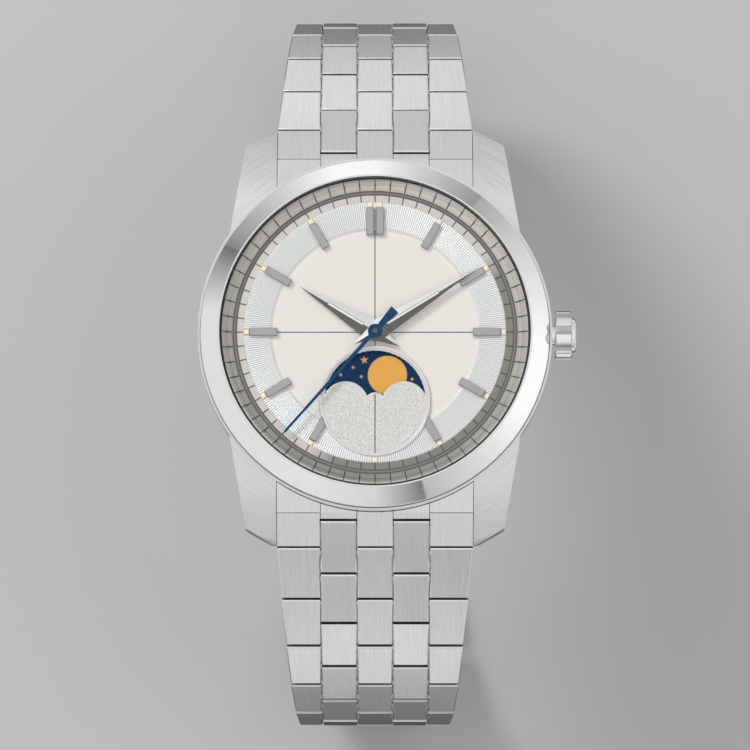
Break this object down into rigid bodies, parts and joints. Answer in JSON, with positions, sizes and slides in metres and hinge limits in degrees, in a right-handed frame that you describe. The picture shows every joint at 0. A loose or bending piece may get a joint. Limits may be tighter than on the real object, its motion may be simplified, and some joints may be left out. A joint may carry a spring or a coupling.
{
  "type": "wristwatch",
  "caption": "Round moon phase wristwatch with a stepped dial, dauphine hands and a tapering five-column link bracelet closed in a loop.",
  "frame": {"origin": "centre of the case back's outer face, where it rests on the wrist", "axes": "+Z out through the dial, +Y towards 12 o'clock, +X towards the crown"},
  "size_m": [0.0384, 0.0758, 0.0623],
  "materials": {
    "case_steel": "brushed along the lugs, polished flanks",
    "polished_steel": "polished",
    "bracelet_steel": "brushed lengthwise with polished bevels",
    "sapphire": "clear",
    "seal": "matt",
    "flange_grey": "satin with printed lines",
    "dial_cream": "satin with an engine-turned ring",
    "frosted_silver": "frosted",
    "moon_blue": "gloss with a gilt moon and stars",
    "blued_steel": "blued",
    "hand_steel": "facetted and polished",
    "movement_plate": "nickel plated",
    "movement_brass": "polished",
    "movement_steel": "fine ground"
  },
  "bodies": {
    "watch_head": {"case_middle": "case_steel", "bezel": "polished_steel", "crystal_gasket": "seal", "crystal": "sapphire", "flange_ring": "flange_grey", "case_back_ring": "polished_steel", "case_back_window": "sapphire", "crown_tube": "polished_steel", "movement_ring": "bracelet_steel", "dial_plate": "dial_cream", "moon_window_plate": "frosted_silver", "hour_markers": "hand_steel", "main_plate": "movement_plate", "train_bridge": "movement_plate", "balance_cock": "movement_plate", "hairspring": "movement_steel", "end_links": "bracelet_steel", "lug_spring_bars": "bracelet_steel"},
    "crown_slide": {"stem_seal": "seal"},
    "crown_body": {"crown": "polished_steel", "winding_stem": "movement_steel"},
    "ratchet": {"ratchet_wheel": "movement_steel"},
    "rotor_body": {"rotor": "movement_brass"},
    "balance": {"balance_wheel": "movement_brass"},
    "fork_body": {"pallet_fork": "movement_steel"},
    "fourth_body": {"fourth_wheel": "movement_brass", "seconds_hand": "blued_steel"},
    "third_body": {"third_wheel": "movement_brass"},
    "centre_body": {"centre_wheel": "movement_brass"},
    "barrel_body": {"barrel": "movement_brass"},
    "escape_body": {"escape_wheel": "movement_brass"},
    "minute_body": {"minute_hand": "hand_steel"},
    "motion_body": {"minute_wheel": "movement_brass"},
    "hour_body": {"hour_hand": "hand_steel"},
    "moon_body": {"moon_disc": "moon_blue"},
    "unit_12_1": {"link_12_1": "bracelet_steel"},
    "unit_12_2": {"link_12_2": "bracelet_steel"},
    "unit_12_3": {"link_12_3": "bracelet_steel"},
    "unit_12_4": {"link_12_4": "bracelet_steel"},
    "unit_12_5": {"link_12_5": "bracelet_steel"},
    "unit_12_6": {"link_12_6": "bracelet_steel"},
    "unit_12_7": {"link_12_7": "bracelet_steel"},
    "unit_12_8": {"link_12_8": "bracelet_steel"},
    "unit_12_9": {"link_12_9": "bracelet_steel"},
    "unit_6_1": {"link_6_1": "bracelet_steel"},
    "unit_6_2": {"link_6_2": "bracelet_steel"},
    "unit_6_3": {"link_6_3": "bracelet_steel"},
    "unit_6_4": {"link_6_4": "bracelet_steel"},
    "unit_6_5": {"link_6_5": "bracelet_steel"},
    "unit_6_6": {"link_6_6": "bracelet_steel"},
    "unit_6_7": {"link_6_7": "bracelet_steel"},
    "unit_6_8": {"link_6_8": "bracelet_steel"},
    "unit_6_9": {"link_6_9": "bracelet_steel"},
    "clasp_inner": {"clasp_blade_short": "bracelet_steel"},
    "clasp_middle": {"clasp_blade_long": "bracelet_steel"},
    "clasp_outer": {"clasp_cover": "bracelet_steel"},
    "button_right": {"clasp_button_right": "bracelet_steel"},
    "button_left": {"clasp_button_left": "bracelet_steel"}
  },
  "joints": [
    {"name": "crown_pull", "type": "slide", "parent": "watch_head", "child": "crown_slide", "axis": [1, 0, 0], "range_m": [0, 0.0012]},
    {"name": "crown_turn", "type": "hinge", "parent": "crown_slide", "child": "crown_body", "pos_m": [0.018, 0, 0.00322], "axis": [1, 0, 0], "continuous": true},
    {"name": "ratchet_spin", "type": "hinge", "parent": "watch_head", "child": "ratchet", "pos_m": [-0.00201, 0.00553, 0.0026], "axis": [0, 0, 1], "continuous": true},
    {"name": "rotor_spin", "type": "hinge", "parent": "watch_head", "child": "rotor_body", "pos_m": [0, 0, 0.0015], "axis": [0, 0, 1], "continuous": true},
    {"name": "balance_swing", "type": "hinge", "parent": "watch_head", "child": "balance", "pos_m": [0.00536, -0.00748, 0.003], "axis": [0, 0, 1], "range_deg": [-135, 135]},
    {"name": "fork_rock", "type": "hinge", "parent": "watch_head", "child": "fork_body", "pos_m": [0.0035, -0.00526, 0.003], "axis": [0, 0, 1], "range_deg": [-10, 10]},
    {"name": "seconds_spin", "type": "hinge", "parent": "watch_head", "child": "fourth_body", "pos_m": [0, 0, 0.003], "axis": [0, 0, -1], "continuous": true},
    {"name": "third_spin", "type": "hinge", "parent": "watch_head", "child": "third_body", "pos_m": [-0.00376, -0.00137, 0.003], "axis": [0, 0, -1], "continuous": true},
    {"name": "centre_spin", "type": "hinge", "parent": "watch_head", "child": "centre_body", "pos_m": [0, 0, 0.0035], "axis": [0, 0, -1], "continuous": true},
    {"name": "barrel_spin", "type": "hinge", "parent": "watch_head", "child": "barrel_body", "pos_m": [-0.00201, 0.00553, 0.0035], "axis": [0, 0, -1], "continuous": true},
    {"name": "escape_spin", "type": "hinge", "parent": "watch_head", "child": "escape_body", "pos_m": [0.00202, -0.0035, 0.003], "axis": [0, 0, -1], "continuous": true},
    {"name": "minute_set", "type": "hinge", "parent": "watch_head", "child": "minute_body", "pos_m": [0, 0, 0.0065], "axis": [0, 0, -1], "continuous": true},
    {"name": "motion_spin", "type": "hinge", "parent": "watch_head", "child": "motion_body", "pos_m": [0.00144, 0.00249, 0.0053], "axis": [0, 0, -1], "continuous": true},
    {"name": "hour_set", "type": "hinge", "parent": "watch_head", "child": "hour_body", "pos_m": [0, 0, 0.0065], "axis": [0, 0, -1], "continuous": true},
    {"name": "moon_set", "type": "hinge", "parent": "watch_head", "child": "moon_body", "pos_m": [0, -0.007, 0.00565], "axis": [0, 0, -1], "continuous": true},
    {"name": "bracelet_12_1", "type": "hinge", "parent": "watch_head", "child": "unit_12_1", "pos_m": [0, 0.01886, 0.00156], "axis": [-1, 0, 0], "range_deg": [-7, 0]},
    {"name": "bracelet_12_2", "type": "hinge", "parent": "unit_12_1", "child": "unit_12_2", "pos_m": [0, 0.02417, -0.00335], "axis": [-1, 0, 0], "range_deg": [-5.3, 0]},
    {"name": "bracelet_12_3", "type": "hinge", "parent": "unit_12_2", "child": "unit_12_3", "pos_m": [0, 0.02863, -0.00908], "axis": [-1, 0, 0], "range_deg": [-7.5, 0]},
    {"name": "bracelet_12_4", "type": "hinge", "parent": "unit_12_3", "child": "unit_12_4", "pos_m": [0, 0.03236, -0.0153], "axis": [-1, 0, 0], "range_deg": [-9.7, 0]},
    {"name": "bracelet_12_5", "type": "hinge", "parent": "unit_12_4", "child": "unit_12_5", "pos_m": [0, 0.03506, -0.02203], "axis": [-1, 0, 0], "range_deg": [-11.9, 0]},
    {"name": "bracelet_12_6", "type": "hinge", "parent": "unit_12_5", "child": "unit_12_6", "pos_m": [0, 0.03638, -0.02916], "axis": [-1, 0, 0], "range_deg": [-14.1, 0]},
    {"name": "bracelet_12_7", "type": "hinge", "parent": "unit_12_6", "child": "unit_12_7", "pos_m": [0, 0.03599, -0.0364], "axis": [-1, 0, 0], "range_deg": [-22, 0]},
    {"name": "bracelet_12_8", "type": "hinge", "parent": "unit_12_7", "child": "unit_12_8", "pos_m": [0, 0.03315, -0.04304], "axis": [-1, 0, 0], "range_deg": [-22, 0]},
    {"name": "bracelet_12_9", "type": "hinge", "parent": "unit_12_8", "child": "unit_12_9", "pos_m": [0, 0.02804, -0.04815], "axis": [-1, 0, 0], "range_deg": [-22, 0]},
    {"name": "bracelet_6_1", "type": "hinge", "parent": "watch_head", "child": "unit_6_1", "pos_m": [0, -0.01886, 0.00156], "axis": [1, 0, 0], "range_deg": [-7, 0]},
    {"name": "bracelet_6_2", "type": "hinge", "parent": "unit_6_1", "child": "unit_6_2", "pos_m": [0, -0.02417, -0.00335], "axis": [1, 0, 0], "range_deg": [-5.3, 0]},
    {"name": "bracelet_6_3", "type": "hinge", "parent": "unit_6_2", "child": "unit_6_3", "pos_m": [0, -0.02863, -0.00908], "axis": [1, 0, 0], "range_deg": [-7.5, 0]},
    {"name": "bracelet_6_4", "type": "hinge", "parent": "unit_6_3", "child": "unit_6_4", "pos_m": [0, -0.03236, -0.0153], "axis": [1, 0, 0], "range_deg": [-9.7, 0]},
    {"name": "bracelet_6_5", "type": "hinge", "parent": "unit_6_4", "child": "unit_6_5", "pos_m": [0, -0.03506, -0.02203], "axis": [1, 0, 0], "range_deg": [-11.9, 0]},
    {"name": "bracelet_6_6", "type": "hinge", "parent": "unit_6_5", "child": "unit_6_6", "pos_m": [0, -0.03638, -0.02916], "axis": [1, 0, 0], "range_deg": [-14.1, 0]},
    {"name": "bracelet_6_7", "type": "hinge", "parent": "unit_6_6", "child": "unit_6_7", "pos_m": [0, -0.03599, -0.0364], "axis": [1, 0, 0], "range_deg": [-22, 0]},
    {"name": "bracelet_6_8", "type": "hinge", "parent": "unit_6_7", "child": "unit_6_8", "pos_m": [0, -0.03315, -0.04304], "axis": [1, 0, 0], "range_deg": [-22, 0]},
    {"name": "bracelet_6_9", "type": "hinge", "parent": "unit_6_8", "child": "unit_6_9", "pos_m": [0, -0.02804, -0.04815], "axis": [1, 0, 0], "range_deg": [-22, 0]},
    {"name": "clasp_hinge", "type": "hinge", "parent": "unit_12_9", "child": "clasp_inner", "pos_m": [0, 0.02138, -0.05096], "axis": [-1, 0, 0], "range_deg": [-22, 0]},
    {"name": "clasp_fold", "type": "hinge", "parent": "clasp_inner", "child": "clasp_middle", "pos_m": [0, -0.01678, -0.05051], "axis": [-1, 0, 0], "range_deg": [0, 130]},
    {"name": "clasp_lift", "type": "hinge", "parent": "clasp_middle", "child": "clasp_outer", "pos_m": [0, 0.01678, -0.05116], "axis": [-1, 0, 0], "range_deg": [-130, 0]},
    {"name": "button_press_right", "type": "slide", "parent": "clasp_outer", "child": "button_right", "axis": [-1, 0, 0], "range_m": [0, 0.0004], "stiffness_N_per_m": 100},
    {"name": "button_press_left", "type": "slide", "parent": "clasp_outer", "child": "button_left", "axis": [1, 0, 0], "range_m": [0, 0.0004], "stiffness_N_per_m": 100}
  ],
  "couplings": [
    {"joint": "ratchet_spin", "follows": "crown_turn", "ratio": 0.33333},
    {"joint": "fork_rock", "follows": "balance_swing", "ratio": 0.074074},
    {"joint": "third_spin", "follows": "seconds_spin", "ratio": -0.13333},
    {"joint": "centre_spin", "follows": "seconds_spin", "ratio": 0.016667},
    {"joint": "barrel_spin", "follows": "seconds_spin", "ratio": -0.0027778},
    {"joint": "escape_spin", "follows": "seconds_spin", "ratio": -10},
    {"joint": "motion_spin", "follows": "minute_set", "ratio": -0.33333},
    {"joint": "hour_set", "follows": "minute_set", "ratio": 0.083333},
    {"joint": "moon_set", "follows": "minute_set", "ratio": 0.00070621},
    {"joint": "bracelet_12_2", "follows": "bracelet_12_1", "ratio": 0.75714},
    {"joint": "bracelet_12_3", "follows": "bracelet_12_1", "ratio": 1.0714},
    {"joint": "bracelet_12_4", "follows": "bracelet_12_1", "ratio": 1.3857},
    {"joint": "bracelet_12_5", "follows": "bracelet_12_1", "ratio": 1.7},
    {"joint": "bracelet_12_6", "follows": "bracelet_12_1", "ratio": 2.0143},
    {"joint": "bracelet_12_7", "follows": "bracelet_12_1", "ratio": 3.1429},
    {"joint": "bracelet_12_8", "follows": "bracelet_12_1", "ratio": 3.1429},
    {"joint": "bracelet_12_9", "follows": "bracelet_12_1", "ratio": 3.1429},
    {"joint": "bracelet_6_2", "follows": "bracelet_6_1", "ratio": 0.75714},
    {"joint": "bracelet_6_3", "follows": "bracelet_6_1", "ratio": 1.0714},
    {"joint": "bracelet_6_4", "follows": "bracelet_6_1", "ratio": 1.3857},
    {"joint": "bracelet_6_5", "follows": "bracelet_6_1", "ratio": 1.7},
    {"joint": "bracelet_6_6", "follows": "bracelet_6_1", "ratio": 2.0143},
    {"joint": "bracelet_6_7", "follows": "bracelet_6_1", "ratio": 3.1429},
    {"joint": "bracelet_6_8", "follows": "bracelet_6_1", "ratio": 3.1429},
    {"joint": "bracelet_6_9", "follows": "bracelet_6_1", "ratio": 3.1429},
    {"joint": "clasp_hinge", "follows": "bracelet_12_1", "ratio": 3.1429},
    {"joint": "clasp_lift", "follows": "clasp_fold", "ratio": -1}
  ]
}
